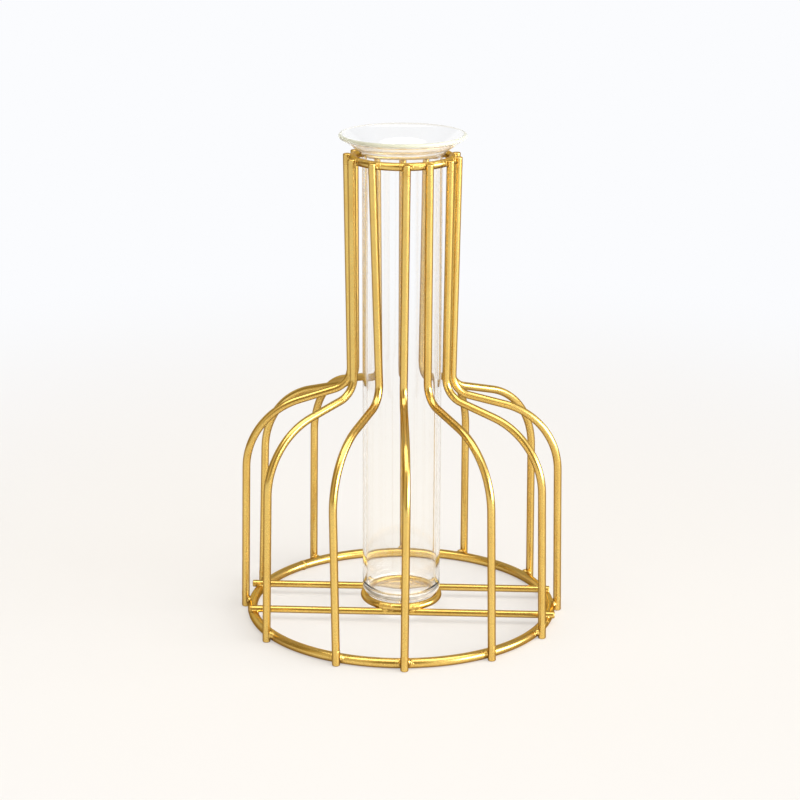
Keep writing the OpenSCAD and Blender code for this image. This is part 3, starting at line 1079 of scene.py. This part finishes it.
def set_world(stage):
    """Studio round the vase: a dim warm tent, two softboxes, a low strip on the right, and a wall.

    Each has its place by direction: side is to the right, rear and back are away from the front.
    Seen directly or through the glass, the room is plain white.
    """
    world = bpy.data.worlds.new("Studio")
    bpy.context.scene.world = world
    world.use_nodes = True
    world.node_tree.nodes.clear()
    graph = Graph(world.node_tree)
    way = graph.node("ShaderNodeTexCoord")["Generated"]
    parts = graph.node("ShaderNodeSeparateXYZ", {}, way)
    x, back, up = parts["X"], parts["Y"], parts["Z"]
    flat = (x * x + back * back + 0.0001).math("SQRT")
    side, rear = x / flat, back / flat
    right_box = side.between(0.28, 0.42) * rear.between(0.25, -0.10) * stage.right_box
    left_box = side.between(-0.28, -0.42) * rear.between(-0.15, -0.45) * stage.left_box
    strip = side.between(0.60, 0.75) * rear.between(0.25, 0.0) * stage.strip
    strip = strip * up.between(-0.04, 0.02) * up.between(0.42, 0.34)
    boxes = (right_box + left_box) * up.between(-0.02, 0.10) * up.between(0.93, 0.82) + strip
    behind = back.between(0.15, 0.45)
    wall = stage.wall + up.between(0.52, 0.42) * (1.0 - stage.wall)
    level = stage.tent * (1.0 - behind) + wall * behind + boxes
    rays = graph.node("ShaderNodeLightPath")
    white = rays["Is Camera Ray"].math("MAXIMUM", rays["Is Transmission Ray"] * ROOM_THROUGH_GLASS)
    warmth = (1.0 - behind) * level.between(1.0, 0.4) * (1.0 - white)
    tone = graph.mix(warmth, ROOM_LIT, ROOM_DIM)
    graph.add("ShaderNodeOutputWorld", {}, Surface=graph.node(
        "ShaderNodeBackground", {}, tone, level * (1.0 - white) + white))


class VASE_OT_stage(bpy.types.Operator):
    """Sets up the floor, the studio light and the camera"""

    bl_idname = "vase.stage"
    bl_label = "Set the stage"

    def execute(self, context):
        stage = sizes(context).stage
        mesh = bpy.data.meshes.new("studio_floor")
        half = FLOOR_HALF
        corners = [(-half, -half, 0), (half, -half, 0), (half, half, 0), (-half, half, 0)]
        mesh.from_pydata(corners, [], [(0, 1, 2, 3)])
        floor = add_object("studio_floor", mesh)
        mesh.materials.append(
            material_once("Studio floor", floor_material, stage.floor_colour, stage.shadow))
        add_softbox(stage.softbox)
        set_world(stage)
        add_camera(stage.lens)
        context.scene.view_settings.view_transform = "Standard"
        return {"FINISHED"}


class VaseSettings(bpy.types.PropertyGroup):
    """All the settings of the vase"""

    cage: bpy.props.PointerProperty(type=CageSizes, name="Cage")
    welds: bpy.props.PointerProperty(type=WeldSizes, name="Welds")
    glass: bpy.props.PointerProperty(type=GlassSizes, name="Glass")
    finishes: bpy.props.PointerProperty(type=Finishes, name="Finishes")
    stage: bpy.props.PointerProperty(type=StageSettings, name="Stage")


STEPS = (VASE_OT_uprights, VASE_OT_rings, VASE_OT_crossbars, VASE_OT_welds, VASE_OT_glass,
         VASE_OT_stage)


class VASE_PT_panel(bpy.types.Panel):
    """Lists the sizes, the colours and the steps"""

    bl_label = "Hydroponic vase"
    bl_idname = "VASE_PT_panel"
    bl_space_type = "VIEW_3D"
    bl_region_type = "UI"
    bl_category = "Vase"

    def draw(self, context):
        settings = sizes(context)
        for title in ("cage", "welds", "glass", "finishes", "stage"):
            group = getattr(settings, title)
            box = self.layout.box()
            box.label(text=title.capitalize())
            for name in group.__annotations__:
                box.prop(group, name)
        for step in STEPS:
            self.layout.operator(step.bl_idname)


CLASSES = (CageSizes, WeldSizes, GlassSizes, Finishes, StageSettings, VaseSettings,
           *STEPS, VASE_PT_panel)


def register():
    """Adds the settings, the operators and the panel."""
    for item in CLASSES:
        bpy.utils.register_class(item)
    bpy.types.Scene.vase = bpy.props.PointerProperty(type=VaseSettings)


def unregister():
    """Takes them away again."""
    del bpy.types.Scene.vase
    for item in reversed(CLASSES):
        bpy.utils.unregister_class(item)


def main():
    """Makes every piece and the stage."""
    register()
    for step in STEPS:
        group, name = step.bl_idname.split(".")
        getattr(getattr(bpy.ops, group), name)()


if __name__ == "__main__":
    main()
